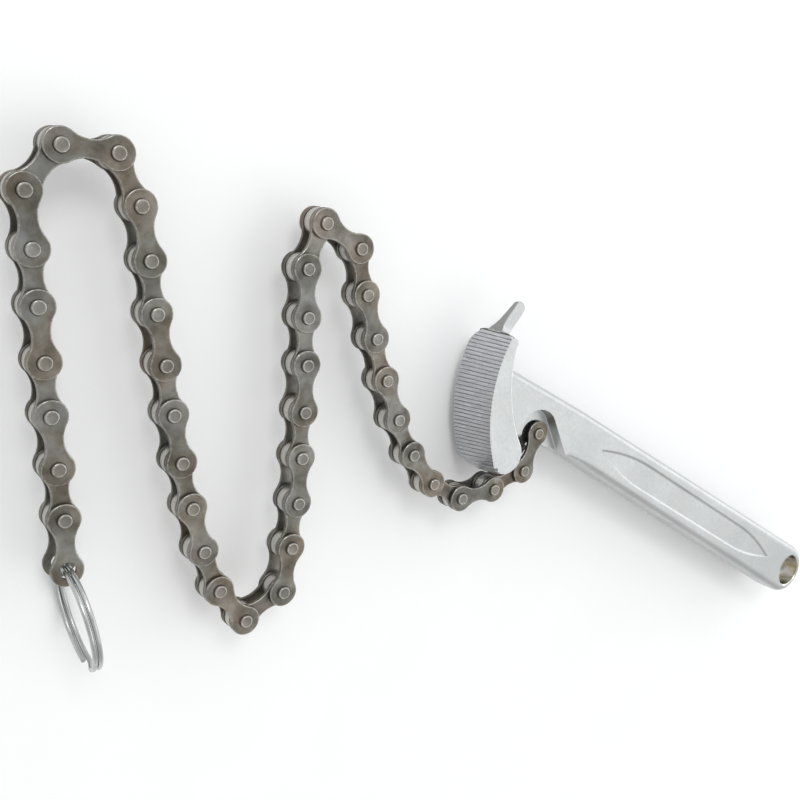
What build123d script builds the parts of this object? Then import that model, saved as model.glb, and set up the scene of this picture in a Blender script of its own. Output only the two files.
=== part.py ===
from build123d import *

import os
from math import atan2, cos, degrees, hypot, pi, radians, sin

# Chain wrench for oil filters: a forged handle with a toothed jaw and a hook, and a roller chain
# that is pinned behind the jaw's heel and ends in a split ring.
# Millimetres, +Z up. The origin is the centre of the hanging hole, half-way through the handle.
# +X points along the handle, away from the jaw. All chain pins stand along Z.

# Handle
HANDLE_THICKNESS = 13.0
GRIP_END_RADIUS = 9.9
GRIP_END_X = -1.2
GRIP_EDGE_FILLET = 3.0
NECK_X = -150.0
NECK_HALF_WIDTH = 7.8
HANGING_HOLE_RADIUS = 6.1
HANGING_HOLE_CHAMFER = 0.6

# Leaf-shaped panel on both sides of the grip
PANEL_START_X = -136.0
PANEL_END_X = -18.5
PANEL_HALF_WIDTH = 4.7
PANEL_TIP_LENGTH = 27.0
PANEL_DEPTH = 0.6
PANEL_WALL_WIDTH = 0.8

# Anchor of the chain, in a pocket of the handle. The first link straddles the pocket's web.
ANCHOR = (-162.8, -6.1)
WEB_THICKNESS = 5.3
POCKET_LEFT = ((-173.0, -6.5), (-170.9, -1.0), (-165.6, 1.1))
POCKET_TOP = ((-165.6, 1.1), (-163.1, 0.75), (-160.9, -0.5))
POCKET_WALL_HEADING = -34.7
POCKET_WALL_LENGTH = 22.0
POCKET_FLOOR_SCALE = 0.97
POCKET_OVERCUT = 6.0
RECESS_CENTRE = (-164.2, -7.0)
RECESS_RADIUS = 4.2
RECESS_WEB = 2.4
BOSS_RADIUS = 2.9

# Jaw
JAW_WIDTH = 18.0
JAW_RADIUS = 46.3
JAW_CENTRE = (-148.8, 12.7)
JAW_TOP_ANGLE = 178.7
HEEL_RADIUS = 5.9
HEEL_CROWN = 1.3
HEEL_CENTRE = (-175.8, -17.6)
HEEL_END_ANGLE = 262.0
JAW_EDGE_ROUND = 0.4
TOOTH_COUNT = 36
TOOTH_DEPTH = 0.45
TOOTH_LAND = 0.62
TOOTH_FAN = 0.03

# Hook on top of the jaw
HOOK_BASE_HALF_WIDTH = 2.7
HOOK_HALF_WIDTH = 1.55
HOOK_TIP_HALF_WIDTH = 1.0

# Roller chain, 1/2 inch by 1/8 inch
PITCH = 12.7
PLATE_THICKNESS = 1.0
PLATE_END_RADIUS = 4.05
PLATE_WAIST = 4.3
PLATE_CHAMFER = 0.18
INNER_WIDTH = 3.3
PLATE_PLAY = 0.1
PIN_DIAMETER = 3.6
PIN_LENGTH = 9.0
PIN_CHAMFER = 0.3
BUSHING_BORE = 3.7
BUSHING_DIAMETER = 5.0
ROLLER_BORE = 5.1
ROLLER_DIAMETER = 7.75
ROLLER_LENGTH = 3.1
ROLLER_CHAMFER = 0.25

# Split ring, upright in the last link's holes and tilted up a little
RING_HOLE_DIAMETER = 4.2
RING_RADIUS = 13.4
RING_WIRE = 1.25
RING_TURN_PITCH = 1.33
RING_HEADING = -50.0
RING_TILT = 8.0
RING_JOG_ANGLE = 16.0

# Direction of each link, in degrees from +X, as the chain lies in three bends
LINK_HEADINGS = (
    # from the anchor round the heel, then out to the first bend
    -83, -130, -146, 180, 158, 147, 141, 138, 136, 131,
    # first bend and back
    178, -84, -59, -60, -62, -63, -64, -68, -71,
    # second bend and out
    -123, 156, 140, 134, 132, 129, 128, 129, 126, 129, 143,
    # third bend and back to the ring
    -156, -100, -55, -57, -56, -56, -55, -56, -59,
)

INNER_PLATE_Z = INNER_WIDTH / 2
OUTER_PLATE_Z = INNER_PLATE_Z + PLATE_THICKNESS + PLATE_PLAY
LINK_COUNT = len(LINK_HEADINGS)

os.makedirs("parts", exist_ok=True)


def polar(centre, radius, angle):
    """Point at an angle, in degrees, on a circle."""
    return (centre[0] + radius * cos(radians(angle)), centre[1] + radius * sin(radians(angle)))


def export(part, name):
    """Labels one finished piece and writes it."""
    part.label = name
    export_step(part, f"parts/{name}.step")


# ---------------------------------------------------------------- hook

HOOK_FOOT_Y = 13.9
HOOK_FRONT = ((-195.2, HOOK_FOOT_Y), (-192.4, 24.9))
HOOK_TIP = (-190.5, 26.3)
HOOK_BACK = ((-188.4, 24.4), (-189.3, 20.2), (-191.0, 15.6))
HOOK_FLARE = (
    (13.0, 3.3),
    (15.4, HOOK_BASE_HALF_WIDTH),
    (16.6, 2.05),
    (18.6, HOOK_HALF_WIDTH),
    (27.5, HOOK_TIP_HALF_WIDTH),
)

with BuildPart() as hook:
    with BuildSketch():
        with BuildLine():
            Line(*HOOK_FRONT)
            ThreePointArc(HOOK_FRONT[1], HOOK_TIP, HOOK_BACK[0])
            ThreePointArc(*HOOK_BACK)
            Line(HOOK_BACK[2], (HOOK_BACK[2][0], HOOK_FOOT_Y))
            Line((HOOK_BACK[2][0], HOOK_FOOT_Y), HOOK_FRONT[0])
        make_face()
    extrude(amount=HOOK_BASE_HALF_WIDTH + 1.0, both=True)
    # the blade thins from its foot to its tip
    with BuildSketch(Plane.YZ):
        with BuildLine():
            Polyline(*HOOK_FLARE)
            Polyline(*[(y, -z) for y, z in HOOK_FLARE])
            Line((HOOK_FLARE[0][0], HOOK_FLARE[0][1]), (HOOK_FLARE[0][0], -HOOK_FLARE[0][1]))
            Line((HOOK_FLARE[-1][0], HOOK_FLARE[-1][1]), (HOOK_FLARE[-1][0], -HOOK_FLARE[-1][1]))
        make_face()
    extrude(amount=-250, mode=Mode.INTERSECT)

# ---------------------------------------------------------------- jaw

# The toothed face follows the large arc, then the first part of the heel.
HEEL_START_ANGLE = 180 + degrees(atan2(JAW_CENTRE[1] - HEEL_CENTRE[1], JAW_CENTRE[0] - HEEL_CENTRE[0]))
FACE_LENGTH = JAW_RADIUS * radians(HEEL_START_ANGLE - JAW_TOP_ANGLE)
TOOTHED_LENGTH = FACE_LENGTH + HEEL_RADIUS * radians(HEEL_END_ANGLE - HEEL_START_ANGLE)
TOOTH_PITCH = TOOTHED_LENGTH / TOOTH_COUNT


def crown(z):
    """How much fuller the heel is at a height than at its sides."""
    return HEEL_CROWN * (1 - (2 * z / JAW_WIDTH) ** 2)


def face_point(length, depth, z):
    """Point on the toothed face, a length down from its top and a depth under its surface."""
    onset = min(1, max(0, (length - FACE_LENGTH + 4) / 8))
    lift = crown(z) * onset - depth
    if length < FACE_LENGTH:
        return polar(JAW_CENTRE, JAW_RADIUS + lift, JAW_TOP_ANGLE + degrees(length / JAW_RADIUS))
    angle = HEEL_START_ANGLE + degrees((length - FACE_LENGTH) / HEEL_RADIUS)
    return polar(HEEL_CENTRE, HEEL_RADIUS + lift, angle)


def tooth_profile(z):
    """Flat lands and V grooves down the face. They fan out a little towards the far side."""
    pitch = TOOTH_PITCH * (1 - TOOTH_FAN * 2 * z / JAW_WIDTH)
    profile = []
    for tooth in range(TOOTH_COUNT):
        profile.append(face_point(tooth * pitch, 0, z))
        profile.append(face_point((tooth + TOOTH_LAND) * pitch, 0, z))
        profile.append(face_point((tooth + (1 + TOOTH_LAND) / 2) * pitch, TOOTH_DEPTH, z))
    profile.append(face_point(TOOTH_COUNT * pitch, 0, z))
    return profile


JAW_BACK_ANGLE = 57.5
JAW_BACK_END = (-190.6, 9.3)
JAW_TIP = ((-191.4, 12.2), (-191.8, 14.2), (-193.2, 15.4))
JAW_TOP_STEP = ((-194.15, 15.3), (-194.3, 13.4), (-194.7, 13.45))
# seen along the handle, the top is crowned and its far corner is rounder than its near one
JAW_CROWN = (
    ((8.6, -9.0), (12.3, -8.1), (14.2, -5.2)),
    ((14.2, -5.2), (14.9, 0.8), (14.0, 8.2)),
)
JAW_NEAR_CORNER_Y = 12.9


def jaw_section(z, inset):
    """The jaw's outline at a height, its heel and back drawn in by the rounding of the rim."""
    profile = tooth_profile(z)
    heel_radius = HEEL_RADIUS + crown(z) - inset
    back_start = polar(HEEL_CENTRE, heel_radius, JAW_BACK_ANGLE)
    tip = [(x - inset, y) for x, y in JAW_TIP]
    with BuildSketch(Plane.XY.offset(z)) as outline:
        with BuildLine():
            Polyline(*profile)
            ThreePointArc(profile[-1], polar(HEEL_CENTRE, heel_radius, HEEL_END_ANGLE + 80), back_start)
            back = TangentArc(
                back_start, (JAW_BACK_END[0] - inset, JAW_BACK_END[1]), tangent=polar((0, 0), 1, JAW_BACK_ANGLE + 90)
            )
            TangentArc(back @ 1, tip[0], tangent=back % 1)
            ThreePointArc(*tip)
            Polyline(tip[-1], *JAW_TOP_STEP, profile[0])
        make_face()
    return outline.sketch


with BuildPart() as jaw:
    rim = JAW_WIDTH / 2 - JAW_EDGE_ROUND
    sections = [jaw_section(-JAW_WIDTH / 2, JAW_EDGE_ROUND)]
    for z in (-rim, -rim / 2, 0, rim / 2, rim):
        sections.append(jaw_section(z, 0))
    sections.append(jaw_section(JAW_WIDTH / 2, JAW_EDGE_ROUND))
    loft(sections, ruled=True)
    with BuildSketch(Plane.YZ):
        with BuildLine():
            ThreePointArc(*JAW_CROWN[0])
            ThreePointArc(*JAW_CROWN[1])
            Polyline(
                JAW_CROWN[1][2],
                (JAW_NEAR_CORNER_Y, JAW_WIDTH / 2),
                (-50, JAW_WIDTH / 2),
                (-50, -JAW_WIDTH / 2),
                JAW_CROWN[0][0],
            )
        make_face()
    extrude(amount=-250, mode=Mode.INTERSECT)

# ---------------------------------------------------------------- handle

HALF_THICKNESS = HANDLE_THICKNESS / 2
NECK_TOP = ((-186.0, 6.3), (-192.0, 5.8))
INSIDE_JAW = ((-190.0, 0.0), (-186.0, -6.0), (-181.0, -11.0), (-176.0, -14.5))
HEEL_BLEND = ((-171.0, -16.4), (-166.3, -16.2), (-164.7, -15.0), (-163.9, -12.5))
EAR_RADIUS = 3.9


def leaf(z, inset):
    """Outline of the grip's panel at a height, drawn in from its edge."""
    left = PANEL_START_X + PANEL_TIP_LENGTH
    right = PANEL_END_X - PANEL_TIP_LENGTH
    tip_inset = inset * 2 * hypot(PANEL_TIP_LENGTH, PANEL_HALF_WIDTH) / PANEL_TIP_LENGTH
    with BuildSketch(Plane.XY.offset(z)) as outline:
        with BuildLine():
            for half in (1, -1):
                edge_y = half * (PANEL_HALF_WIDTH - inset)
                Line((left, edge_y), (right, edge_y))
                TangentArc((left, edge_y), (PANEL_START_X + tip_inset, 0), tangent=(-1, 0))
                TangentArc((right, edge_y), (PANEL_END_X - tip_inset, 0), tangent=(1, 0))
        make_face()
    return outline.sketch


def pocket(z, scale):
    """Outline of the pocket at a height, drawn in towards the anchor."""
    wall_end = polar(POCKET_TOP[2], POCKET_WALL_LENGTH, POCKET_WALL_HEADING)
    corner = (POCKET_LEFT[0][0], wall_end[1] - POCKET_OVERCUT)
    left, top, end, low = (
        [(ANCHOR[0] + scale * (x - ANCHOR[0]), ANCHOR[1] + scale * (y - ANCHOR[1])) for x, y in points]
        for points in (POCKET_LEFT, POCKET_TOP, [wall_end], [corner])
    )
    with BuildSketch(Plane.XY.offset(z)) as outline:
        with BuildLine():
            ThreePointArc(*left)
            ThreePointArc(*top)
            Polyline(top[2], end[0], low[0], left[0])
        make_face()
    return outline.sketch


with BuildPart() as handle:
    with BuildSketch(Plane.XY.offset(-HALF_THICKNESS)):
        with BuildLine():
            ThreePointArc(
                (GRIP_END_X, -GRIP_END_RADIUS),
                (GRIP_END_X + GRIP_END_RADIUS, 0),
                (GRIP_END_X, GRIP_END_RADIUS),
            )
            Polyline((GRIP_END_X, GRIP_END_RADIUS), (NECK_X, NECK_HALF_WIDTH), *NECK_TOP)
            Polyline(NECK_TOP[-1], *INSIDE_JAW, *HEEL_BLEND, polar(ANCHOR, EAR_RADIUS, 262))
            ThreePointArc(
                polar(ANCHOR, EAR_RADIUS, 262),
                polar(ANCHOR, EAR_RADIUS, 290),
                polar(ANCHOR, EAR_RADIUS, 315),
            )
            Polyline(
                polar(ANCHOR, EAR_RADIUS, 315),
                (NECK_X, -NECK_HALF_WIDTH),
                (GRIP_END_X, -GRIP_END_RADIUS),
            )
        make_face()
    extrude(amount=HANDLE_THICKNESS)
    rim = handle.faces().filter_by(Axis.Z).edges().filter_by(
        lambda edge: edge.center().X > NECK_X or edge.center().Y > NECK_TOP[0][1]
    )
    fillet(rim, GRIP_EDGE_FILLET)

    # the pocket behind the jaw, on both sides of the web, with sloped walls
    for side in (1, -1):
        rim_face = pocket(side * HALF_THICKNESS, 1)
        floor_face = pocket(side * WEB_THICKNESS / 2, POCKET_FLOOR_SCALE)
        loft([rim_face, floor_face], ruled=True, mode=Mode.SUBTRACT)
        with BuildSketch(Plane.XY.offset(side * RECESS_WEB / 2)):
            with Locations(RECESS_CENTRE):
                Circle(RECESS_RADIUS)
            with Locations(ANCHOR):
                Circle(BOSS_RADIUS, mode=Mode.SUBTRACT)
        extrude(amount=side * HANDLE_THICKNESS, mode=Mode.SUBTRACT)

    add(jaw.part)
    add(hook.part)

    # leaf-shaped panels with sloped walls
    for side in (1, -1):
        rim_face = leaf(side * HALF_THICKNESS, 0)
        floor_face = leaf(side * (HALF_THICKNESS - PANEL_DEPTH), PANEL_WALL_WIDTH)
        loft([rim_face, floor_face], ruled=True, mode=Mode.SUBTRACT)

    # hanging hole and anchor bore
    with BuildSketch(Plane.XY.offset(-HANDLE_THICKNESS)):
        Circle(HANGING_HOLE_RADIUS)
        with Locations(ANCHOR):
            Circle(BUSHING_BORE / 2)
    extrude(amount=2 * HANDLE_THICKNESS, mode=Mode.SUBTRACT)
    hole_edges = handle.edges().filter_by(
        lambda edge: edge.geom_type == GeomType.CIRCLE
        and abs(edge.radius - HANGING_HOLE_RADIUS) < 0.01
        and hypot(edge.arc_center.X, edge.arc_center.Y) < 0.01
    )
    chamfer(hole_edges, HANGING_HOLE_CHAMFER)

export(handle.part, "handle")

# ---------------------------------------------------------------- chain


def chain_pins():
    """Pin axes from the anchor to the ring's holes, one pitch apart."""
    pins = [ANCHOR]
    for heading in LINK_HEADINGS:
        pins.append(polar(pins[-1], PITCH, heading))
    return pins


PINS = chain_pins()


def link_plane(link, z):
    """Plane of one link at a height, from its first pin towards its second."""
    heading = radians(LINK_HEADINGS[link])
    return Plane(origin=(*PINS[link], z), x_dir=(cos(heading), sin(heading), 0), z_dir=(0, 0, 1))


# The plates' outline: round ends, joined by hollow flanks.
FLANK_RADIUS = ((PITCH / 2) ** 2 + (PLATE_WAIST / 2) ** 2 - PLATE_END_RADIUS**2) / (
    2 * (PLATE_END_RADIUS - PLATE_WAIST / 2)
)
FLANK_REACH = PLATE_END_RADIUS / (PLATE_END_RADIUS + FLANK_RADIUS)
FLANK_X = FLANK_REACH * PITCH / 2
FLANK_Y = FLANK_REACH * (PLATE_WAIST / 2 + FLANK_RADIUS)


def link_plates(link, z, hole_radii):
    """The two plates of a link, at z above and below the middle."""
    with BuildPart() as plates:
        for low in (z, -z - PLATE_THICKNESS):
            with BuildSketch(link_plane(link, low)):
                with BuildLine():
                    for y in (PLATE_WAIST / 2, -PLATE_WAIST / 2):
                        edge_y = FLANK_Y if y > 0 else -FLANK_Y
                        ThreePointArc((FLANK_X, edge_y), (PITCH / 2, y), (PITCH - FLANK_X, edge_y))
                    for x, end in ((FLANK_X, -PLATE_END_RADIUS), (PITCH - FLANK_X, PITCH + PLATE_END_RADIUS)):
                        ThreePointArc((x, FLANK_Y), (end, 0), (x, -FLANK_Y))
                make_face()
                for x, radius in zip((0, PITCH), hole_radii):
                    with Locations((x, 0)):
                        Circle(radius, mode=Mode.SUBTRACT)
            extrude(amount=PLATE_THICKNESS)
        outlines = [face.outer_wire().edges() for face in plates.faces().filter_by(Axis.Z)]
        chamfer([edge for outline in outlines for edge in outline], PLATE_CHAMFER)
    return plates.part


def round_bars(link, ends, length, radius, bore, edge):
    """Pins, bushings or rollers of a link: round bars or tubes at its ends."""
    with BuildPart() as bars:
        with BuildSketch(link_plane(link, -length / 2)):
            for end in ends:
                with Locations((end * PITCH, 0)):
                    Circle(radius)
                    if bore:
                        Circle(bore, mode=Mode.SUBTRACT)
        extrude(amount=length)
        if edge:
            rims = bars.edges().filter_by(
                lambda rim: rim.geom_type == GeomType.CIRCLE and abs(rim.radius - radius) < 0.01
            )
            chamfer(rims, edge)
    return bars.part


def group(pieces):
    """One node of separate solids."""
    return Compound(children=[solid for piece in pieces for solid in piece.solids()])


for link in range(LINK_COUNT):
    number = f"{link // 2 + 1:02d}"
    if link % 2 == 0:
        is_last = link == LINK_COUNT - 1
        far_hole = RING_HOLE_DIAMETER / 2 if is_last else PIN_DIAMETER / 2
        plates = link_plates(link, OUTER_PLATE_Z, (PIN_DIAMETER / 2, far_hole))
        ends = (0,) if is_last else (0, 1)
        pins = round_bars(link, ends, PIN_LENGTH, PIN_DIAMETER / 2, None, PIN_CHAMFER)
        export(group([plates, pins]), f"outer_link_{number}")
    else:
        plates = link_plates(link, INNER_PLATE_Z, (BUSHING_DIAMETER / 2, BUSHING_DIAMETER / 2))
        bushing_length = INNER_WIDTH + 2 * PLATE_THICKNESS
        bushings = round_bars(link, (0, 1), bushing_length, BUSHING_DIAMETER / 2, BUSHING_BORE / 2, None)
        rollers = round_bars(
            link, (0, 1), ROLLER_LENGTH, ROLLER_DIAMETER / 2, ROLLER_BORE / 2, ROLLER_CHAMFER
        )
        export(group([plates, bushings]), f"inner_link_{number}")
        export(group([rollers]), f"rollers_{number}")

# ---------------------------------------------------------------- split ring

# The ring's plane holds the hole's axis; its centre is one ring radius away from the hole.
heading = radians(RING_HEADING)
tilt = radians(RING_TILT)
outward = Vector(cos(heading) * cos(tilt), sin(heading) * cos(tilt), sin(tilt))
sideways = Vector(-sin(heading), cos(heading), 0)
ring_centre = Vector(*PINS[-1], 0) + outward * RING_RADIUS
ring_plane = Plane(origin=ring_centre, x_dir=outward, z_dir=sideways)


def ring_point(angle, z):
    """Point of the wire's centre line, in the ring's own plane."""
    return (RING_RADIUS * cos(radians(angle)), RING_RADIUS * sin(radians(angle)), z)


# one turn below, a step across at the side away from the hole, and one turn above
with BuildPart() as split_ring:
    half_pitch = RING_TURN_PITCH / 2
    turn = 360 - 2 * RING_JOG_ANGLE
    jog = [RING_JOG_ANGLE * step / 4 for step in range(-4, 5)]
    with BuildLine(ring_plane) as wire:
        CenterArc((0, 0, -half_pitch), RING_RADIUS, RING_JOG_ANGLE, turn)
        Spline(*[ring_point(angle, half_pitch * sin(pi / 2 * angle / RING_JOG_ANGLE)) for angle in jog])
        CenterArc((0, 0, half_pitch), RING_RADIUS, RING_JOG_ANGLE, turn)
    with BuildSketch(wire.wire() ^ 0):
        Circle(RING_WIRE / 2)
    sweep()

export(split_ring.part, "split_ring")
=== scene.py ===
import math

import bmesh
import bpy
import numpy as np
from mathutils import Matrix, Vector


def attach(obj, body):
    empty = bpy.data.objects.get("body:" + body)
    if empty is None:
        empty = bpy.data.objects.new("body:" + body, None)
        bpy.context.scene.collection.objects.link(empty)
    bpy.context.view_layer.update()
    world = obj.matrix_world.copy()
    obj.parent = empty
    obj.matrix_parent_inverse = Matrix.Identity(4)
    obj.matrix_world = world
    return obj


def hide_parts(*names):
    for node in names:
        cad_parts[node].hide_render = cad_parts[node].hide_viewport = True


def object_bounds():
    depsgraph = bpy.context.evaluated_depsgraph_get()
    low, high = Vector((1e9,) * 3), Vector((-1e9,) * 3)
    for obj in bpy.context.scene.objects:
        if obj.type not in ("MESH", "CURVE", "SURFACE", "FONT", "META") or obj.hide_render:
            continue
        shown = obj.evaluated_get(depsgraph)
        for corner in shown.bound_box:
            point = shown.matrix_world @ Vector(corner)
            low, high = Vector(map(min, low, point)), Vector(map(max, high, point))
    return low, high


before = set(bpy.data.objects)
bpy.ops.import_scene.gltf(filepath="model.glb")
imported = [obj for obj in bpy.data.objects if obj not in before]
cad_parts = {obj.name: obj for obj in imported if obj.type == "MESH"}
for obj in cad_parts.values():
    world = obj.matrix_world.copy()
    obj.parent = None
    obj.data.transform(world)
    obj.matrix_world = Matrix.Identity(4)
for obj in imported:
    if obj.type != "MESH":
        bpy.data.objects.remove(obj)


def box_lists():
    """The whole object's box as plain lists."""
    return [[float(x) for x in corner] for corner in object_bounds()]


CAD_BOX = box_lists()

# Everything below is written in millimetres and scaled once, when a mesh is made.
MM = 0.001

# Chain, as in the CAD model
PITCH = 12.7
ANCHOR = (-162.8, -6.1)
LINK_HEADINGS = (
    -83, -130, -146, 180, 158, 147, 141, 138, 136, 131,
    178, -84, -59, -60, -62, -63, -64, -68, -71,
    -123, 156, 140, 134, 132, 129, 128, 129, 126, 129, 143,
    -156, -100, -55, -57, -56, -56, -55, -56, -59,
)
PLATE_END_RADIUS = 4.05
PLATE_WAIST = 2.15
PLATE_THICKNESS = 1.0
INNER_PLATE_Z = 1.65
OUTER_PLATE_Z = 2.75
PIN_RADIUS = 1.8
PIN_HALF_LENGTH = 4.5
BUSHING_RADIUS = 2.5
BUSHING_BORE = 1.85
ROLLER_RADIUS = 3.875
ROLLER_BORE = 2.55
ROLLER_HALF_LENGTH = 1.55
RING_HOLE_RADIUS = 2.1
RECESS_CENTRE = (-164.2, -7.0)
JAW_CENTRE = (-148.8, 12.7)
JAW_RADIUS = 46.3
HEEL_CENTRE = (-175.8, -17.6)
HEEL_RADIUS = 5.9
HEEL_CROWN = 1.3
JAW_TOP_ANGLE = 178.7
JAW_HALF_WIDTH = 9.0
HEEL_END_ANGLE = 262.0
TOOTH_COUNT = 36
TOOTH_FAN = 0.03
RING_RADIUS = 13.4
RING_WIRE_RADIUS = 0.625
RING_TURN_PITCH = 1.33
RING_HEADING = -50.0
RING_TILT = 8.0
RING_JOG = 16.0

# Degree of bareness of each kind of part: 0 is the filmed plate
PIN_BARENESS = 0.4
BUSHING_BARENESS = 1.0
ROLLER_BARENESS = 1.7

# Where the face passes from the jaw's arc to the heel's, and the lengths of both along it
HEEL_START_ANGLE = 180 + math.degrees(
    math.atan2(JAW_CENTRE[1] - HEEL_CENTRE[1], JAW_CENTRE[0] - HEEL_CENTRE[0])
)
FACE_LENGTH = JAW_RADIUS * math.radians(HEEL_START_ANGLE - JAW_TOP_ANGLE)
TOOTHED_LENGTH = FACE_LENGTH + HEEL_RADIUS * math.radians(HEEL_END_ANGLE - HEEL_START_ANGLE)
# The crown comes in over this length, centred on the passage
CROWN_ONSET = 8.0

# ---------------------------------------------------------------- mesh helpers


def make_object(name, vertices, faces, body, cad_nodes, smooth=None, attributes=()):
    """One piece from millimetre vertices, riding on a body in the place of CAD nodes."""
    mesh = bpy.data.meshes.new(name)
    mesh.from_pydata((np.asarray(vertices, float) * MM).tolist(), [], faces)
    if smooth is None:
        mesh.shade_smooth()
    else:
        mesh.polygons.foreach_set("use_smooth", smooth)
    for key, values in attributes:
        layer = mesh.attributes.new(key, "FLOAT", "POINT")
        layer.data.foreach_set("value", np.asarray(values, np.float32))
    mesh.update()
    piece = bpy.data.objects.new(name, mesh)
    bpy.context.scene.collection.objects.link(piece)
    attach(piece, body)
    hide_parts(*cad_nodes)
    return piece


def face_outward(piece):
    """Turns the faces of a closed piece so that they look outward."""
    bm = bmesh.new()
    bm.from_mesh(piece.data)
    bmesh.ops.recalc_face_normals(bm, faces=bm.faces[:])
    bm.to_mesh(piece.data)
    bm.free()


class Shell:
    """Vertices, faces, smooth flags, wear and bareness, gathered in a link's own plane."""

    def __init__(self):
        self.vertices = []
        self.faces = []
        self.smooth = []
        self.wear = []
        self.turned = []
        self.bareness = 0.0

    def add(self, vertices, faces, smooth, wear):
        base = len(self.vertices)
        self.vertices += [tuple(v) for v in vertices]
        self.faces += [tuple(base + i for i in face) for face in faces]
        self.smooth += smooth
        self.wear += wear
        self.turned += [self.bareness] * len(vertices)

    def lathe(self, profile, centre, sides=40, sharp=(), wear=None):
        """Turns a closed profile of (radius, z) about the Z line through a centre."""
        count = len(profile)
        angles = np.arange(sides) * 2 * math.pi / sides
        vertices = [
            (centre[0] + r * math.cos(a), centre[1] + r * math.sin(a), z)
            for a in angles for r, z in profile
        ]
        faces = []
        for i in range(sides):
            j = (i + 1) % sides
            for k in range(count):
                n = (k + 1) % count
                faces.append((i * count + k, j * count + k, j * count + n, i * count + n))
        smooth = [k not in sharp for _ in range(sides) for k in range(count)]
        self.add(vertices, faces, smooth, (wear or [0.0] * count) * sides)

    def solid_lathe(self, profile, centre, sides=40, wear=None):
        """Turns an open profile of (radius, z) that starts and ends near the axis, with flat ends."""
        count = len(profile)
        angles = np.arange(sides) * 2 * math.pi / sides
        vertices = [
            (centre[0] + r * math.cos(a), centre[1] + r * math.sin(a), z)
            for a in angles for r, z in profile
        ]
        faces = []
        for i in range(sides):
            j = (i + 1) % sides
            for k in range(count - 1):
                faces.append((i * count + k, j * count + k, j * count + k + 1, i * count + k + 1))
        smooth = [True] * len(faces)
        faces.append(tuple(i * count for i in reversed(range(sides))))
        faces.append(tuple(i * count + count - 1 for i in range(sides)))
        smooth += [True, True]
        self.add(vertices, faces, smooth, (wear or [0.0] * count) * sides)


def arc(centre, radius, start, end, steps):
    """Points along a circle, with the normals that point away from its centre."""
    points = []
    for a in np.radians(np.linspace(start, end, steps)):
        nx, ny = math.cos(a), math.sin(a)
        points.append((centre[0] + radius * nx, centre[1] + radius * ny, nx, ny))
    return points


def plate_outline():
    """Outline of a link plate, counter-clockwise, as (x, y, outward x, outward y)."""
    middle = PITCH / 2
    flank = (middle**2 + PLATE_WAIST**2 - PLATE_END_RADIUS**2) / (2 * (PLATE_END_RADIUS - PLATE_WAIST))
    lift = PLATE_WAIST + flank
    turn = math.degrees(math.atan2(lift, middle))
    points = arc((0, 0), PLATE_END_RADIUS, turn, 360 - turn, 40)
    low = arc((middle, -lift), flank, 180 - turn, turn, 22)[1:-1]
    points += [(x, y, -nx, -ny) for x, y, nx, ny in low]
    points += arc((PITCH, 0), PLATE_END_RADIUS, turn - 180, 180 - turn, 40)
    high = arc((middle, lift), flank, -turn, turn - 180, 22)[1:-1]
    points += [(x, y, -nx, -ny) for x, y, nx, ny in high]
    return points


OUTLINE = plate_outline()


def plate(shell, low, high, hole_radii, side):
    """A blanked plate between two heights: rounded on its outer face, nearly sharp on the other."""
    outer, inner = (high, low) if side > 0 else (low, high)
    roll = 0.26
    steps = [
        (roll * (1 - math.sin(a)), outer - side * roll * (1 - math.cos(a)))
        for a in np.radians((0, 30, 60, 90))
    ]
    rings = [(0.62, outer)] + steps + [(0.0, inner + side * 0.08), (0.08, inner)]
    wear = [0.0, 0.7, 1.0, 0.8, 0.3, 0.1, 0.2]
    loops = [[(x - nx * inset, y - ny * inset, z) for x, y, nx, ny in OUTLINE] for inset, z in rings]
    count = len(OUTLINE)
    vertices = [v for loop in loops for v in loop]
    faces = []
    for k in range(len(loops) - 1):
        for i in range(count):
            j = (i + 1) % count
            quad = (k * count + i, k * count + j, (k + 1) * count + j, (k + 1) * count + i)
            faces.append(quad if side < 0 else quad[::-1])
    smooth = [i >= count for i in range(len(faces))]
    values = [w for w in wear for _ in range(count)]
    # holes: a small chamfer at each face and the bore between
    bores = []
    for cx, radius in zip((0, PITCH), hole_radii):
        sides = 36
        base = len(vertices)
        levels = ((radius + 0.1, outer), (radius, outer - side * 0.1), (radius, inner))
        for r, z in levels:
            for a in np.arange(sides) * 2 * math.pi / sides:
                vertices.append((cx + r * math.cos(a), r * math.sin(a), z))
                values.append(0.0)
        for k in range(2):
            for i in range(sides):
                j = (i + 1) % sides
                near, far = base + k * sides, base + (k + 1) * sides
                quad = (near + i, near + j, far + j, far + i)
                faces.append(quad if side > 0 else quad[::-1])
                smooth.append(True)
        bores.append((base, base + 2 * sides, sides))
    # faces round the holes
    caps = ((0, 0, 1), (len(loops) - 1, 1, -1))
    for loop_index, level, facing in caps:
        bm = bmesh.new()
        keys = [loop_index * count + i for i in range(count)]
        handles = {}
        ring_groups = [keys] + [[bore[level] + i for i in range(bore[2])] for bore in bores]
        for group in ring_groups:
            for key in group:
                handles[key] = bm.verts.new(vertices[key])
            for i, key in enumerate(group):
                bm.edges.new((handles[key], handles[group[(i + 1) % len(group)]]))
        bm.verts.index_update()
        back = {v.index: k for k, v in handles.items()}
        bmesh.ops.triangle_fill(bm, edges=bm.edges[:], use_beauty=True, use_dissolve=False)
        up = facing * side
        for face in bm.faces:
            ids = [back[v.index] for v in face.verts]
            face.normal_update()
            if face.normal.z * up < 0:
                ids.reverse()
            faces.append(tuple(ids))
            smooth.append(False)
        bm.free()
    shell.add(vertices, faces, smooth, values)


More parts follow.
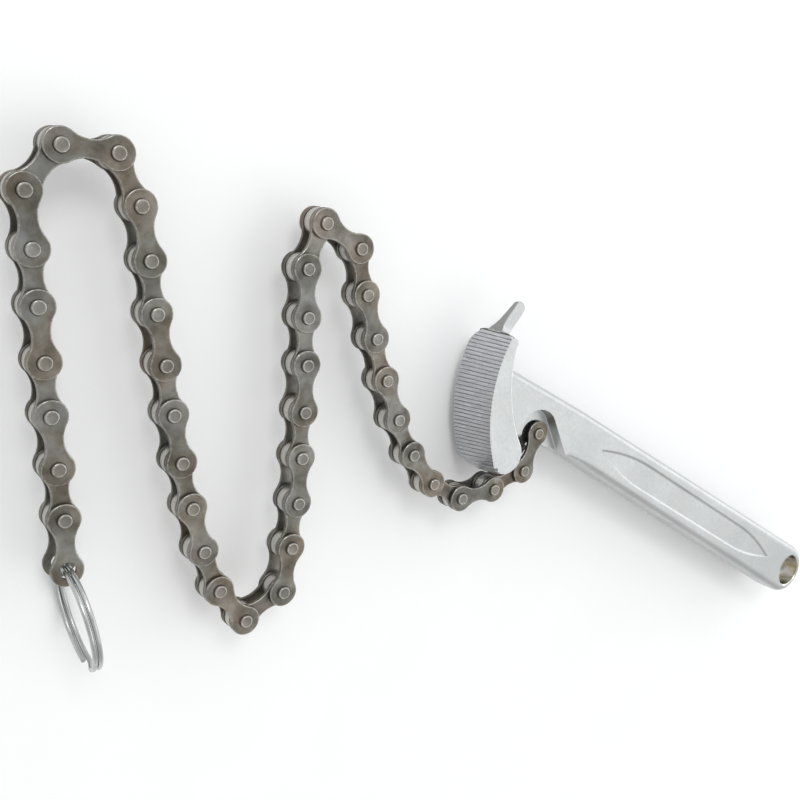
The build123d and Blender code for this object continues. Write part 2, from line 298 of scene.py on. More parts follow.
def pin(shell, x):
    """A riveted pin: a raised end with a bright rolled rim round a slightly dished face."""
    h = PIN_HALF_LENGTH
    r = PIN_RADIUS
    top = [
        (0.35, h - 0.13), (0.9, h - 0.11), (1.2, h - 0.05), (1.38, h - 0.005), (1.5, h),
        (1.62, h - 0.04), (1.72, h - 0.13), (r, h - 0.3),
    ]
    wear = [0.15, 0.15, 0.3, 0.8, 1.0, 0.9, 0.5, 0.15]
    profile = [(a, -z) for a, z in top] + [(a, z) for a, z in reversed(top)]
    shell.solid_lathe(profile, (x, 0), 36, wear + wear[::-1])


def tube(shell, x, radius, bore, half, edge, rim_wear):
    """A bushing or roller with rounded outer edges."""
    profile = [
        (bore, -half + 0.08), (bore + 0.08, -half),
        (radius - edge, -half), (radius - 0.3 * edge, -half + 0.3 * edge), (radius, -half + edge),
        (radius, half - edge), (radius - 0.3 * edge, half - 0.3 * edge), (radius - edge, half),
        (bore + 0.08, half), (bore, half - 0.08),
    ]
    wear = [0, 0, 0.3, rim_wear, 0.4, 0.4, rim_wear, 0.3, 0, 0]
    shell.lathe(profile, (x, 0), 44, (2, 7), wear)


def outer_link(is_last):
    """Two outer plates and their riveted pins; the last link has the ring in place of a pin."""
    shell = Shell()
    holes = (PIN_RADIUS, RING_HOLE_RADIUS if is_last else PIN_RADIUS)
    plate(shell, OUTER_PLATE_Z, OUTER_PLATE_Z + PLATE_THICKNESS, holes, 1)
    plate(shell, -OUTER_PLATE_Z - PLATE_THICKNESS, -OUTER_PLATE_Z, holes, -1)
    shell.bareness = PIN_BARENESS
    pin(shell, 0)
    if not is_last:
        pin(shell, PITCH)
    return shell


def inner_link():
    """Two inner plates and the two bushings pressed into them."""
    shell = Shell()
    holes = (BUSHING_RADIUS, BUSHING_RADIUS)
    plate(shell, INNER_PLATE_Z, INNER_PLATE_Z + PLATE_THICKNESS, holes, 1)
    plate(shell, -INNER_PLATE_Z - PLATE_THICKNESS, -INNER_PLATE_Z, holes, -1)
    shell.bareness = BUSHING_BARENESS
    for x in (0, PITCH):
        tube(shell, x, BUSHING_RADIUS, BUSHING_BORE, INNER_PLATE_Z + PLATE_THICKNESS, 0.1, 0.4)
    return shell


def rollers():
    """The two rollers that are loose on an inner link's bushings."""
    shell = Shell()
    shell.bareness = ROLLER_BARENESS
    for x in (0, PITCH):
        tube(shell, x, ROLLER_RADIUS, ROLLER_BORE, ROLLER_HALF_LENGTH, 0.25, 1.0)
    return shell


def polar(centre, radius, angle):
    """Point at a radius and an angle in degrees from a centre."""
    turn = math.radians(angle)
    return (centre[0] + radius * math.cos(turn), centre[1] + radius * math.sin(turn))


def link_starts():
    """The first pin of each link, and the ring's hole."""
    starts = [ANCHOR]
    for heading in LINK_HEADINGS:
        starts.append(polar(starts[-1], PITCH, heading))
    return starts


STARTS = link_starts()


def placed(shell, start, heading):
    """A link's vertices, turned and moved to where the link lies."""
    c, s = math.cos(math.radians(heading)), math.sin(math.radians(heading))
    local = np.array(shell.vertices, float)
    x, y = local[:, 0], local[:, 1]
    return np.c_[start[0] + c * x - s * y, start[1] + s * x + c * y, local[:, 2]]


# ---------------------------------------------------------------- materials


def node_adder(tree):
    """A function that adds a node to a tree, with its inputs set or linked."""

    def add(kind, inputs=(), **settings):
        node = tree.nodes.new(kind)
        for key, value in settings.items():
            setattr(node, key, value)
        for key, value in dict(inputs).items():
            if isinstance(value, bpy.types.NodeSocket):
                tree.links.new(value, node.inputs[key])
            else:
                node.inputs[key].default_value = value
        return node

    return add


def node_material(name):
    """A new material with its shader, and a helper that adds linked nodes."""
    material = bpy.data.materials.new(name)
    material.use_nodes = True
    tree = material.node_tree
    shader = tree.nodes["Principled BSDF"]
    return material, tree, shader, node_adder(tree)


def ramp(add, source, stops):
    """A colour ramp with (position, colour) stops."""
    node = add("ShaderNodeValToRGB", {"Fac": source})
    while len(node.color_ramp.elements) < len(stops):
        node.color_ramp.elements.new(0.5)
    for element, (position, colour) in zip(node.color_ramp.elements, stops):
        element.position = position
        element.color = (*colour, 1)
    return node.outputs["Color"]


def mix(add, factor, a, b, blend="MIX"):
    """Two colours blended by a factor, each a value or a socket."""
    node = add("ShaderNodeMix", data_type="RGBA", blend_type=blend)
    tree = node.id_data
    for index, value in ((0, factor), (6, a), (7, b)):
        if isinstance(value, bpy.types.NodeSocket):
            tree.links.new(value, node.inputs[index])
        else:
            node.inputs[index].default_value = value if index == 0 else (*value, 1)
    return node.outputs[2]


def grey(value):
    """A colour with three equal parts."""
    return (value, value, value)


def noise(add, vector, scale, detail=4.0, roughness=0.55):
    """A cloudy value between 0 and 1, at a scale per unit of its vector."""
    return add(
        "ShaderNodeTexNoise", {"Vector": vector, "Scale": scale, "Detail": detail, "Roughness": roughness}
    ).outputs["Fac"]


def chain_material():
    """Dull rolled steel: brownish film in patches, bright rubbed edges, fine scratches."""
    material, tree, shader, add = node_material("chain_steel")
    place = add("ShaderNodeTexCoord").outputs["Object"]
    patches = noise(add, place, 160, 5, 0.6)
    film = ramp(add, patches, (
        (0.3, (0.098, 0.090, 0.072)), (0.5, (0.172, 0.163, 0.140)), (0.7, (0.262, 0.257, 0.236)),
    ))
    stain = ramp(add, noise(add, place, 60, 3, 0.5), (
        (0.36, (0.92, 0.95, 1.0)), (0.5, grey(1.0)), (0.64, (1.06, 0.96, 0.89)),
    ))
    film = mix(add, 1.0, film, stain, "MULTIPLY")
    rubbed = add("ShaderNodeAttribute", attribute_name="wear").outputs["Fac"]
    turned = add("ShaderNodeAttribute", attribute_name="turned").outputs["Fac"]
    speck = noise(add, place, 1500, 3, 0.6)
    edge = add("ShaderNodeMath", {0: rubbed, 1: speck}, operation="MULTIPLY").outputs[0]
    edge = add("ShaderNodeMapRange", {"Value": edge, "From Min": 0.2, "From Max": 0.7}).outputs["Result"]
    bare = mix(add, turned, (0.33, 0.32, 0.295), (0.52, 0.505, 0.47))
    cover = add("ShaderNodeMath", {0: turned, 1: 0.55}, operation="MULTIPLY").outputs[0]
    base = mix(add, cover, film, bare)
    colour = mix(add, edge, base, (0.50, 0.485, 0.45))
    tree.links.new(colour, shader.inputs["Base Color"])
    shader.inputs["Metallic"].default_value = 0.9
    rough = add("ShaderNodeMapRange", {
        "Value": patches, "From Min": 0.3, "From Max": 0.7, "To Min": 0.5, "To Max": 0.36,
    })
    rough = add(
        "ShaderNodeMath", {0: rough.outputs["Result"], 1: edge}, operation="SUBTRACT", use_clamp=True
    )
    rough = add("ShaderNodeMath", {0: rough.outputs[0], 1: 0.26}, operation="MAXIMUM")
    tree.links.new(rough.outputs[0], shader.inputs["Roughness"])
    grain = noise(add, place, 2600, 3, 0.6)
    bump = add("ShaderNodeBump", {"Height": grain, "Strength": 0.18, "Distance": 0.00012})
    tree.links.new(bump.outputs["Normal"], shader.inputs["Normal"])
    return material


def handle_material():
    """Satin plating: cloudy tint, pebbled skin, painted shade with some grease in the anchor's well,
    painted shade in the seam, on the hook's front and in the grooves, a painted highlight on the jaw's
    back rim, brushed bare teeth.
    """
    material, tree, shader, add = node_material("satin_plating")
    place = add("ShaderNodeTexCoord").outputs["Object"]
    cloud = noise(add, place, 38, 4, 0.6)
    mottle = noise(add, place, 900, 4, 0.6)
    tint = ramp(add, cloud, (
        (0.3, (0.49, 0.51, 0.512)), (0.52, (0.545, 0.557, 0.552)), (0.72, (0.59, 0.605, 0.613)),
    ))
    mottled = ramp(add, mottle, ((0.3, grey(0.94)), (0.6, grey(1.0)), (0.78, grey(1.04))))
    colour = mix(add, 1.0, tint, mottled, "MULTIPLY")
    # painted shade with some grease in the anchor's well and on the web beside the heel: darkened,
    # speckled, less metallic and rougher
    shade_and_grime = add("ShaderNodeAttribute", attribute_name="shade_and_grime").outputs["Fac"]
    speckle = noise(add, place, 900, 3, 0.6)
    shade_and_smut = add("ShaderNodeMath", {0: shade_and_grime, 1: speckle}, operation="MULTIPLY").outputs[0]
    shade_and_smut = add("ShaderNodeMapRange", {"Value": shade_and_smut, "From Min": 0.1, "From Max": 0.42})
    shade_and_smut = shade_and_smut.outputs["Result"]
    colour = mix(add, shade_and_smut, colour, (0.028, 0.026, 0.024))
    cut = add("ShaderNodeAttribute", attribute_name="cut").outputs["Fac"]
    # brushed along the teeth, which run across the jaw
    lane = add("ShaderNodeAttribute", attribute_name="lane").outputs["Fac"]
    height = add("ShaderNodeSeparateXYZ", {"Vector": place}).outputs["Z"]
    across = add("ShaderNodeMath", {0: height, 1: 60.0}, operation="MULTIPLY").outputs[0]
    brush = add("ShaderNodeCombineXYZ", {"X": lane, "Z": across}).outputs["Vector"]
    streak = noise(add, brush, 2.6, 5, 0.7)
    steel = ramp(add, streak, (
        (0.3, (0.38, 0.39, 0.41)), (0.5, (0.52, 0.53, 0.55)), (0.7, (0.70, 0.71, 0.73)),
    ))
    colour = mix(add, cut, colour, steel)
    # the hanging hole is polished by its hook, with brown oil left in it
    bore = add("ShaderNodeAttribute", attribute_name="bore").outputs["Fac"]
    oil = ramp(add, noise(add, place, 140, 2, 0.5), (
        (0.36, (0.50, 0.44, 0.31)), (0.52, (0.70, 0.68, 0.62)), (0.68, (0.85, 0.85, 0.85)),
    ))
    colour = mix(add, bore, colour, oil)
    # painted highlight along the jaw's back rim
    painted_highlight = add("ShaderNodeAttribute", attribute_name="painted_highlight").outputs["Fac"]
    colour = mix(add, painted_highlight, colour, (0.95, 0.955, 0.96))
    # painted shade: darkens the seam behind the jaw's top edge, the ledge's foot, the hook's front face
    # and the grooves between the teeth
    painted_shade = add("ShaderNodeAttribute", attribute_name="painted_shade").outputs["Fac"]
    colour = mix(add, painted_shade, colour, (0.10, 0.098, 0.09))
    tree.links.new(colour, shader.inputs["Base Color"])
    metallic = add("ShaderNodeMapRange", {"Value": shade_and_smut, "To Min": 1.0, "To Max": 0.2}).outputs["Result"]
    tree.links.new(metallic, shader.inputs["Metallic"])
    rough = add("ShaderNodeMapRange", {
        "Value": mottle, "From Min": 0.3, "From Max": 0.7, "To Min": 0.44, "To Max": 0.34,
    })
    polish = add(
        "ShaderNodeMath", {0: bore, 1: -0.22, 2: rough.outputs["Result"]}, operation="MULTIPLY_ADD"
    )
    rough = add("ShaderNodeMath", {0: polish.outputs[0], 1: shade_and_smut}, operation="ADD", use_clamp=True)
    tree.links.new(rough.outputs[0], shader.inputs["Roughness"])
    skin = noise(add, place, 260, 4, 0.5)
    fine = noise(add, place, 1700, 3, 0.6)
    both = add("ShaderNodeMath", {0: fine, 1: 0.25}, operation="MULTIPLY").outputs[0]
    both = add("ShaderNodeMath", {0: skin, 1: both}, operation="ADD").outputs[0]
    bump = add("ShaderNodeBump", {"Height": both, "Strength": 0.25, "Distance": 0.0002})
    tree.links.new(bump.outputs["Normal"], shader.inputs["Normal"])
    return material


def ring_material():
    """Bright nickel-plated wire with faint drawing lines."""
    material, tree, shader, add = node_material("nickel_wire")
    place = add("ShaderNodeTexCoord").outputs["Object"]
    cloud = noise(add, place, 220, 4, 0.6)
    colour = ramp(add, cloud, ((0.3, (0.43, 0.445, 0.44)), (0.7, (0.56, 0.575, 0.57))))
    tree.links.new(colour, shader.inputs["Base Color"])
    shader.inputs["Metallic"].default_value = 1.0
    rough = add("ShaderNodeMapRange", {
        "Value": cloud, "From Min": 0.3, "From Max": 0.7, "To Min": 0.3, "To Max": 0.22,
    })
    tree.links.new(rough.outputs["Result"], shader.inputs["Roughness"])
    grain = noise(add, place, 2400, 2, 0.5)
    bump = add("ShaderNodeBump", {"Height": grain, "Strength": 0.03, "Distance": 0.0001})
    tree.links.new(bump.outputs["Normal"], shader.inputs["Normal"])
    return material


def floor_material():
    """Matt paper, nearly white, with a faint tooth."""
    material, tree, shader, add = node_material("paper")
    place = add("ShaderNodeTexCoord").outputs["Object"]
    colour = ramp(add, noise(add, place, 30, 3, 0.5), ((0.3, grey(0.97)), (0.7, grey(0.985))))
    tree.links.new(colour, shader.inputs["Base Color"])
    shader.inputs["Roughness"].default_value = 0.9
    return material


CHAIN_STEEL = chain_material()
PLATING = handle_material()
NICKEL = ring_material()

# ---------------------------------------------------------------- chain

OUTER, OUTER_LAST, INNER, ROLLERS = outer_link(False), outer_link(True), inner_link(), rollers()

for index, heading in enumerate(LINK_HEADINGS):
    number = f"{index // 2 + 1:02d}"
    if index % 2:
        body = f"inner_link_{number}"
        pieces = ((INNER, body, "chain_steel"), (ROLLERS, f"rollers_{number}", "roller_steel"))
    else:
        shape = OUTER_LAST if index == len(LINK_HEADINGS) - 1 else OUTER
        body = f"outer_link_{number}"
        pieces = ((shape, body, "chain_steel"),)
    for shell, node, slot in pieces:
        piece = make_object(
            "shown_" + node, placed(shell, STARTS[index], heading), shell.faces, body, [node],
            shell.smooth, (("wear", shell.wear), ("turned", shell.turned)),
        )
        piece.data.materials.append(CHAIN_STEEL)

# ---------------------------------------------------------------- split ring


def ring_path():
    """Centre line of the wire: one turn, the step over, and the other turn."""
    heading, tilt = math.radians(RING_HEADING), math.radians(RING_TILT)
    outward = Vector(
        (math.cos(heading) * math.cos(tilt), math.sin(heading) * math.cos(tilt), math.sin(tilt))
    )
    sideways = Vector((-math.sin(heading), math.cos(heading), 0))
    upward = sideways.cross(outward)
    centre = Vector((*STARTS[-1], 0)) + outward * RING_RADIUS
    points = []
    for angle in np.arange(RING_JOG - 360, 360 - RING_JOG + 0.01, 3.0):
        step = min(1.0, max(-1.0, angle / RING_JOG))
        lift = RING_TURN_PITCH / 2 * math.sin(step * math.pi / 2)
        a = math.radians(angle)
        radial = outward * math.cos(a) + upward * math.sin(a)
        points.append((centre + radial * RING_RADIUS + sideways * lift, radial))
    return points, sideways


def split_ring():
    """The wire swept round its centre line, with flat ends."""
    points, sideways = ring_path()
    sides = 18
    vertices, faces = [], []
    for k, (point, radial) in enumerate(points):
        before = points[max(k - 1, 0)][0]
        after = points[min(k + 1, len(points) - 1)][0]
        along = (after - before).normalized()
        side = (sideways - along * sideways.dot(along)).normalized()
        out = along.cross(side).normalized()
        for i in range(sides):
            a = 2 * math.pi * i / sides
            spoke = side * math.cos(a) + out * math.sin(a)
            vertices.append(tuple(point + spoke * RING_WIRE_RADIUS))
    for k in range(len(points) - 1):
        for i in range(sides):
            j = (i + 1) % sides
            faces.append((k * sides + i, k * sides + j, (k + 1) * sides + j, (k + 1) * sides + i))
    smooth = [True] * len(faces)
    faces.append(tuple(reversed(range(sides))))
    last = (len(points) - 1) * sides
    faces.append(tuple(last + i for i in range(sides)))
    smooth += [False, False]
    piece = make_object("shown_split_ring", vertices, faces, "ring", ["split_ring"], smooth)
    piece.data.materials.append(NICKEL)


split_ring()

# ---------------------------------------------------------------- handle

VOXEL = 0.18
HANDLE_TRIANGLES = 190000


def forged_handle():
    """The CAD forging, welded and remeshed finely; its edges are worn round when it is relaxed later."""
    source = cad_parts["handle"]
    mesh = source.data.copy()
    bm = bmesh.new()
    bm.from_mesh(mesh)
    bmesh.ops.remove_doubles(bm, verts=bm.verts[:], dist=2e-6)
    bm.to_mesh(mesh)
    bm.free()
    mesh.materials.clear()
    piece = bpy.data.objects.new("shown_handle", mesh)
    bpy.context.scene.collection.objects.link(piece)
    remesh = piece.modifiers.new("even", "REMESH")
    remesh.mode = "VOXEL"
    remesh.voxel_size = VOXEL * MM
    remesh.use_smooth_shade = True
    shape = bpy.data.meshes.new_from_object(piece.evaluated_get(bpy.context.evaluated_depsgraph_get()))
    piece.modifiers.clear()
    piece.data = shape
    return piece


def simplified(piece):
    """Collapses the flat stretches, so that the mesh keeps its faces for the detail."""
    count = sum(len(p.vertices) - 2 for p in piece.data.polygons)
    thin = piece.modifiers.new("thin", "DECIMATE")
    thin.ratio = min(1.0, HANDLE_TRIANGLES / count)


# Where painted shade with some grease lies in the anchor's recess and on the web
WELL_RADIUS = 4.5
WELL_HALF_DEPTH = 2.58
WEB_X = (-174, -161)
WEB_TOP = -9.0
WEB_HALF_THICKNESS = 2.8
# The skin behind the teeth lies left of this line, and is sunk by this depth
TEETH_RIGHT = -172
SINK_DEPTH = 0.7
# The hook's blade: its foot, its length, and how much of its width it loses up to the tip
HOOK_RIGHT = -186
HOOK_FOOT = 15.4
HOOK_LENGTH = 9.0
HOOK_THINNING = 0.34
# The hook's front leans back by a run over a rise, from its lowest point
HOOK_FRONT = (-195.2, 13.9)
HOOK_LEAN = 2.8 / 11.0
# The seam behind the jaw's top edge, darkened with painted shade
SEAM_X = (-195.3, -193.9)
SEAM_Y = (13.0, 14.1)
SEAM_MIDDLE = 0.5
SEAM_HALF_WIDTH = 8.0
# The polished band of the hanging hole, and the painted highlight along the jaw's back rim
POLISHED_RADIUS = 6.75
RIM_BAND = 0.55
RIM_RIGHT = -170
RIM_TOP = 12.5
RIM_DEPTH = 1.5
# Edges sharper than this many degrees stay crisp
SHARP_ANGLE = 38


def ramped(values, start, width):
    """Rises from 0 at a start to 1 over a width."""
    return np.clip((values - start) / width, 0, 1)


def between(values, limits):
    """True where the values lie between two limits."""
    return (values > limits[0]) & (values < limits[1])


def from_point(x, y, point):
    """Distance from a point, and angle about it in degrees."""
    return np.hypot(x - point[0], y - point[1]), np.degrees(np.arctan2(y - point[1], x - point[0])) % 360


def well_shade_and_grime(x, y, z):
    """Painted shade with some grease in the anchor's recess, and on the web between it and the heel."""
    recess, _ = from_point(x, y, RECESS_CENTRE)
    in_well = np.clip((WELL_RADIUS - recess) / 0.3, 0, 1) * (np.abs(z) < WELL_HALF_DEPTH)
    from_heel, _ = from_point(x, y, HEEL_CENTRE)
    on_web = between(x, WEB_X) & (y < WEB_TOP) & (np.abs(z) < WEB_HALF_THICKNESS)
    return np.maximum(in_well, 0.9 * on_web * ramped(from_heel, HEEL_RADIUS + HEEL_CROWN, 0.5))


def toothed_skin(co):
    """Centre and radius of the face at each vertex, its distance, and whether it lies on the face."""
    x, y, z = co.T
    _, heel_turn = from_point(x, y, HEEL_CENTRE)
    _, face_turn = from_point(x, y, JAW_CENTRE)
    on_heel = (heel_turn > HEEL_START_ANGLE) & (heel_turn < HEEL_END_ANGLE - 2)
    run = np.where(
        on_heel,
        np.radians(heel_turn - HEEL_START_ANGLE) * HEEL_RADIUS,
        np.radians(face_turn - HEEL_START_ANGLE) * JAW_RADIUS,
    )
    crown = HEEL_CROWN * (1 - (z / JAW_HALF_WIDTH) ** 2) * ramped(run, -CROWN_ONSET / 2, CROWN_ONSET)
    centre = np.where(on_heel[:, None], np.array(HEEL_CENTRE), np.array(JAW_CENTRE))
    radius = np.where(on_heel, HEEL_RADIUS, JAW_RADIUS) + crown
    distance = np.hypot(x - centre[:, 0], y - centre[:, 1])
    on_front = on_heel | ((face_turn > JAW_TOP_ANGLE + 0.1) & (face_turn < HEEL_START_ANGLE))
    return centre, radius, distance, on_front


def smooth_group(piece, name, weights, iterations):
    """Relaxes the vertices of a group, by their weights."""
    group = piece.vertex_groups.new(name=name)
    for weight, chosen in weights:
        group.add([int(i) for i in np.nonzero(chosen)[0]], weight, "REPLACE")
    relax = piece.modifiers.new(name, "SMOOTH")
    relax.factor = 0.5
    relax.iterations = iterations
    relax.vertex_group = name


handle = forged_handle()
co = np.zeros(len(handle.data.vertices) * 3, np.float32)
handle.data.vertices.foreach_get("co", co)
co = co.reshape(-1, 3) / MM
x, y, z = co.T
# painted shade with some grease in the anchor's recess and on the web beside the heel
shade_and_grime = well_shade_and_grime(x, y, z)
# the skin behind the teeth sinks under their shell
centre, radius, distance, on_front = toothed_skin(co)
sunk = on_front & (distance > radius - SINK_DEPTH) & (x < TEETH_RIGHT)
scale = np.where(sunk, (radius - SINK_DEPTH) / np.maximum(distance, 1e-6), 1.0)
co[:, :2] = centre + (co[:, :2] - centre) * scale[:, None]
# the hook's blade is drawn out thinner towards its tip
on_hook = (y > HOOK_FOOT) & (x < HOOK_RIGHT)
co[:, 2] *= np.where(on_hook, 1 - HOOK_THINNING * ramped(y, HOOK_FOOT, HOOK_LENGTH), 1.0)
handle.data.vertices.foreach_set("co", (co * MM).astype(np.float32).ravel())
handle.data.update()
# painted shade lies in the seam behind the jaw's top edge and on the hook's front face
seam_shade = between(x, SEAM_X) & between(y, SEAM_Y) & (np.abs(z - SEAM_MIDDLE) < SEAM_HALF_WIDTH)
# painted shade on the hook's front face
front_line = HOOK_FRONT[0] + (y - HOOK_FRONT[1]) * HOOK_LEAN
hook_front_shade = np.clip((front_line + 0.35 - x) / 0.2, 0, 1) * (y > 14.3) * 0.55
painted_shade = np.maximum(0.95 * seam_shade, hook_front_shade)
bore = np.clip((POLISHED_RADIUS - np.hypot(x, y)) / 0.3, 0, 1)
# a painted highlight lies along the jaw's back rim
facing = np.zeros(len(co) * 3, np.float32)
handle.data.vertex_normals.foreach_get("vector", facing)
tilt = np.abs(facing.reshape(-1, 3)[:, 2])
rim = (np.abs(z) > JAW_HALF_WIDTH - RIM_BAND) & (tilt < 0.96) & (tilt > 0.15)
rim &= (x < RIM_RIGHT) & (y < RIM_TOP) & (distance < radius - RIM_DEPTH)
for key, values in (("shade_and_grime", shade_and_grime), ("bore", bore), ("painted_shade", painted_shade), ("painted_highlight", rim)):
    layer = handle.data.attributes.new(key, "FLOAT", "POINT")
    layer.data.foreach_set("value", values.astype(np.float32))
smooth_group(handle, "relax", ((0.05, sunk), (1.0, ~sunk)), 4)
# where the grip's rounding dies away into the pocket's end
edge_run = ramped(x, -149.8, 2) * np.clip((-124 - x) / 14, 0, 1) * np.clip((-3.5 - y) / 2, 0, 1)
levels = [(level, (edge_run > level - 0.25) & (edge_run <= level)) for level in (0.25, 0.5, 0.75, 1.0)]
smooth_group(handle, "fade", levels, 200)
simplified(handle)
settled = bpy.data.meshes.new_from_object(handle.evaluated_get(bpy.context.evaluated_depsgraph_get()))
handle.modifiers.clear()
handle.data = settled
settled.set_sharp_from_angle(angle=math.radians(SHARP_ANGLE))
even_light = handle.modifiers.new("even_light", "WEIGHTED_NORMAL")
even_light.keep_sharp = True
handle.data.materials.append(PLATING)
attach(handle, "handle")
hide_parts("handle")

# ---------------------------------------------------------------- teeth


def face_point(length, depth, z):
    """Point on the toothed face, a length down from its top and a depth under its surface."""
    onset = min(1, max(0, (length - FACE_LENGTH + CROWN_ONSET / 2) / CROWN_ONSET))
    lift = HEEL_CROWN * (1 - (z / JAW_HALF_WIDTH) ** 2) * onset - depth
    if length < FACE_LENGTH:
        return polar(JAW_CENTRE, JAW_RADIUS + lift, JAW_TOP_ANGLE + math.degrees(length / JAW_RADIUS))
    angle = HEEL_START_ANGLE + math.degrees((length - FACE_LENGTH) / HEEL_RADIUS)
    return polar(HEEL_CENTRE, HEEL_RADIUS + lift, angle)


# Depth of a groove's bottom and of the shell's back under the face
GROOVE_DEPTH = 0.3
SHELL_DEPTH = 0.9
# The jaw's two top corners: where each starts, how far up it goes, and how much it takes off
FAR_CORNER = (8.6, 5.4, 3.8)
NEAR_CORNER = (12.9, 1.1, 0.8)


def jaw_reach(y):
    """Lowest and highest z of the jaw at a level: its top corners are rounded."""
    low, high = -JAW_HALF_WIDTH, JAW_HALF_WIDTH
    start, rise, cut = FAR_CORNER
    if y > start:
        low += cut * (1 - math.cos(min(1, (y - start) / rise) * math.pi / 2)) ** 1.2
    start, rise, cut = NEAR_CORNER
    if y > start:
        high -= cut * min(1, (y - start) / rise)
    return low, high


def toothed_face():
    """The jaw's teeth: flat lands with broken edges between grooves, as one closed shell."""
    steps = [
        (0.0, 0.05), (0.05, 0.0), (0.78, 0.0), (0.82, 0.04),
        (0.88, GROOVE_DEPTH), (0.91, GROOVE_DEPTH), (0.97, 0.08),
    ]
    levels = [-1, -0.985, *np.linspace(-0.9, 0.9, 13), 0.985, 1]
    rows = []
    for level in levels:
        row = []
        for tooth in range(TOOTH_COUNT):
            for share, depth in steps:
                across = level
                for _ in range(2):
                    z = across * JAW_HALF_WIDTH
                    pitch = TOOTHED_LENGTH / TOOTH_COUNT * (1 - TOOTH_FAN * z / JAW_HALF_WIDTH)
                    x, y = face_point((tooth + share) * pitch, depth, z)
                    low, high = jaw_reach(y)
                    across = (low + (high - low) * (level + 1) / 2) / JAW_HALF_WIDTH
                row.append(((tooth + share) * pitch, depth, across * JAW_HALF_WIDTH))
        rows.append(row)
    count = len(rows[0])
    vertices = []
    for row in rows:
        for length, depth, z in row:
            x, y = face_point(length, depth, z)
            vertices.append((x, y, z))
        for length, depth, z in row:
            x, y = face_point(length, SHELL_DEPTH, z)
            vertices.append((x, y, z))
    faces = []
    span = 2 * count
    for r in range(len(rows) - 1):
        for k in range(count - 1):
            a, b = r * span + k, (r + 1) * span + k
            faces.append((a, a + 1, b + 1, b))
            faces.append((a + count, b + count, b + count + 1, a + count + 1))
        for k in (0, count - 1):
            a, b = r * span + k, (r + 1) * span + k
            quad = (a, b, b + count, a + count)
            faces.append(quad if k == 0 else quad[::-1])
    for r in (0, len(rows) - 1):
        for k in range(count - 1):
            a = r * span + k
            quad = (a, a + count, a + count + 1, a + 1)
            faces.append(quad if r == 0 else quad[::-1])
    groove = []
    for tooth in range(TOOTH_COUNT):
        # painted shade in each groove, deeper on some teeth than on others
        groove_shade = 0.04 + 0.26 * abs(math.sin(2.4 * tooth))
        groove += [groove_shade if depth == GROOVE_DEPTH else 0.0 for _, depth in steps]
    lanes = [length / TOOTHED_LENGTH * TOOTH_COUNT for length, _, _ in rows[0]]
    painted_shade = (groove + [0.0] * count) * len(rows)
    bare = [0.0 if r in (0, len(rows) - 1) else 1.0 for r in range(len(rows)) for _ in range(span)]
    piece = make_object(
        "shown_teeth", vertices, faces, "handle", ["handle"], [False] * len(faces),
        (("painted_shade", painted_shade), ("cut", bare), ("lane", (lanes + lanes) * len(rows))),
    )
    face_outward(piece)
    piece.data.materials.append(PLATING)


toothed_face()


# The ledge: its reach across the jaw, the level of its ends, its crown, and the upper limit of the
# painted shade along its foot
LEDGE_REACH = (-6.6, 8.0)
LEDGE_MIDDLE = 0.7
LEDGE_HALF_WIDTH = 7.4
LEDGE_LEVEL = 13.8
LEDGE_CROWN = 1.3
LEDGE_SHADE_TOP = 14.35


def top_ledge():
    """The low crowned ledge behind the jaw's top edge, with painted shade along its foot."""
    vertices, painted_shade = [], []
    heights = np.linspace(*LEDGE_REACH, 19)
    for z in heights:
        top = LEDGE_LEVEL + LEDGE_CROWN * (1 - ((z - LEDGE_MIDDLE) / LEDGE_HALF_WIDTH) ** 2)
        # painted shade along the ledge's foot, up to its upper limit
        dark = min(LEDGE_SHADE_TOP, top - 0.02)
        section = [(-195.0, 13.5, 0.95), (-194.95, dark - 0.03, 0.95), (-194.93, dark, 0.1)]
        section += [(-194.7, top, 0.0), (-193.0, top, 0.0), (-193.0, 13.0, 0.0)]
        for x, y, value in section:
            vertices.append((x, y, z))
            painted_shade.append(value)
    sides = len(section)
    faces = []
    for r in range(len(heights) - 1):
        for k in range(sides):
            a, b = r * sides + k, r * sides + (k + 1) % sides
            faces.append((a, a + sides, b + sides, b))
    faces.append(tuple(range(sides)))
    faces.append(tuple(len(vertices) - sides + k for k in reversed(range(sides))))
    piece = make_object(
        "shown_jaw_ledge", vertices, faces, "handle", ["handle"], [False] * len(faces),
        (("painted_shade", painted_shade),),
    )
    face_outward(piece)
    piece.data.materials.append(PLATING)


top_ledge()

# ---------------------------------------------------------------- floor, lights and camera

FLOOR_GAP = 0.0002
FLOOR_Z = CAD_BOX[0][2] - FLOOR_GAP
bpy.ops.mesh.primitive_plane_add(size=6, location=(-0.15, -0.05, FLOOR_Z))
floor = bpy.context.object
floor.name = "floor"
floor.data.materials.append(floor_material())


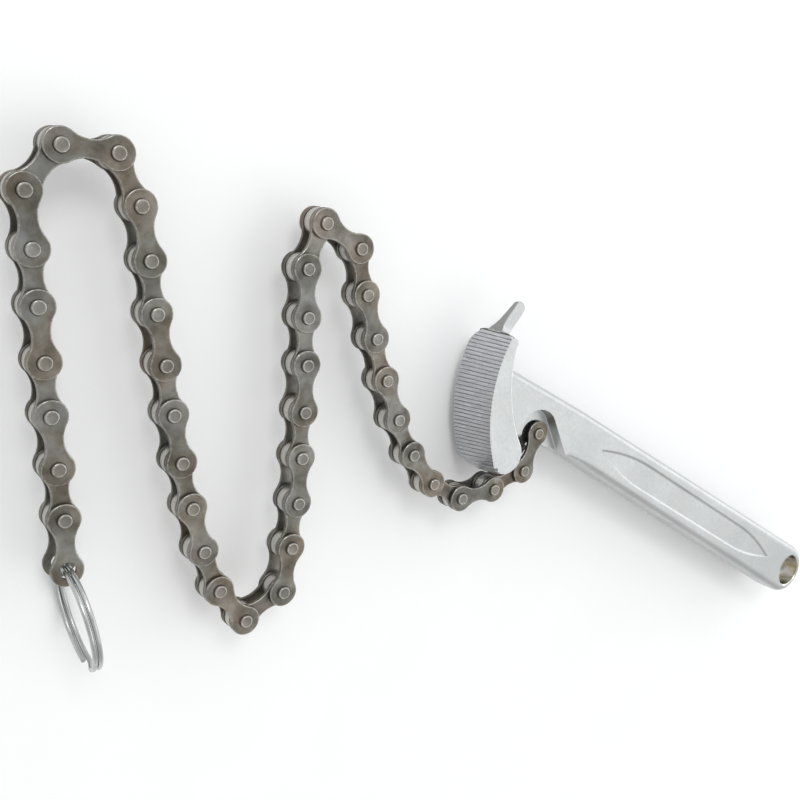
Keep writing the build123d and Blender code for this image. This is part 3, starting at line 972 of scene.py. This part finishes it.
def studio_world():
    """A pale room: bright overhead and on the hook's side, dimmer on the chain's side."""
    world = bpy.data.worlds.new("studio")
    bpy.context.scene.world = world
    world.use_nodes = True
    tree = world.node_tree
    add = node_adder(tree)
    direction = add("ShaderNodeTexCoord").outputs["Generated"]
    axes = add("ShaderNodeSeparateXYZ", {"Vector": direction})
    place = add("ShaderNodeMapRange", {"Value": axes.outputs["Y"], "From Min": -1.0})
    across = ramp(add, place.outputs["Result"], (
        (0.05, (0.60, 0.605, 0.59)), (0.5, (0.68, 0.69, 0.69)), (0.9, (1.0, 1.01, 1.03)),
    ))
    sky = tree.nodes["Background"]
    tree.links.new(across, sky.inputs["Color"])
    sky.inputs["Strength"].default_value = 1.08


studio_world()

CENTRE = Vector((-0.16, -0.04, 0))


def softbox(name, location, size, power):
    """A rectangular white lamp that faces the middle of the object."""
    lamp = bpy.data.lights.new(name, "AREA")
    lamp.shape = "RECTANGLE"
    lamp.size, lamp.size_y = size
    lamp.energy = power
    lamp_object = bpy.data.objects.new(name, lamp)
    bpy.context.scene.collection.objects.link(lamp_object)
    lamp_object.location = location
    lamp_object.rotation_euler = (CENTRE - Vector(location)).to_track_quat("-Z", "Y").to_euler()


softbox("key", (-0.75, 0.45, 0.95), (0.35, 0.35), 2.4)
softbox("side", (0.35, 0.85, 0.35), (1.2, 0.6), 1.0)
softbox("top", (0.55, 0.03, 0.95), (0.9, 0.9), 1.7)
softbox("low", (0.98, 0.51, 0.2), (1.1, 0.3), 1.1)

# The view: focal length on a 36 mm sensor, place, and the picture's three directions
FOCAL_LENGTH = 44.575
CAMERA_PLACE = (-386.385, -39.066, 227.058)
RIGHT = Vector((0.693885, 0.447623, 0.564055))
DOWN = Vector((0.397456, -0.891264, 0.218351))
FORWARD = Vector((0.600461, 0.072676, -0.796345))

camera_data = bpy.data.cameras.new("camera")
camera_data.sensor_width = 36.0
camera_data.lens = FOCAL_LENGTH
camera_data.clip_start = 0.01
camera = bpy.data.objects.new("camera", camera_data)
bpy.context.scene.collection.objects.link(camera)
turned = Matrix((RIGHT, -DOWN, -FORWARD)).transposed()
camera.matrix_world = Matrix.Translation(Vector(CAMERA_PLACE) * MM) @ turned.to_4x4()
bpy.context.scene.camera = camera
bpy.context.scene.view_settings.view_transform = "Standard"
